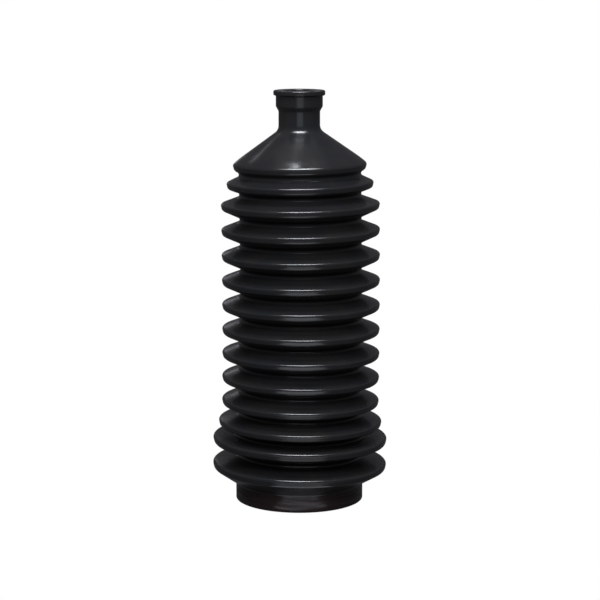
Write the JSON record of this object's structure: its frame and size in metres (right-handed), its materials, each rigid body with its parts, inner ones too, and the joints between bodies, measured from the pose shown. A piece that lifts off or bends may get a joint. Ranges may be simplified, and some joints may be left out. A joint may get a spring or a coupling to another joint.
{
  "type": "rubber bellows boot",
  "caption": "Long round rubber bellows boot: a wide plain cuff, flared folds over it, equal round-edged folds up the body, and a cone that narrows to a small neck with a collar and lip.",
  "frame": {"origin": "centre of the large mouth, on the face that the cuff stands on", "axes": "+Z along the boot's axis, from the cuff to the neck; X and Y are free, because the boot is round"},
  "size_m": [0.0724, 0.0724, 0.1704],
  "materials": {
    "black_rubber": "smooth moulded rubber with a satin gloss"
  },
  "bodies": {
    "root": {"bellows_boot": "black_rubber"}
  },
  "joints": []
}
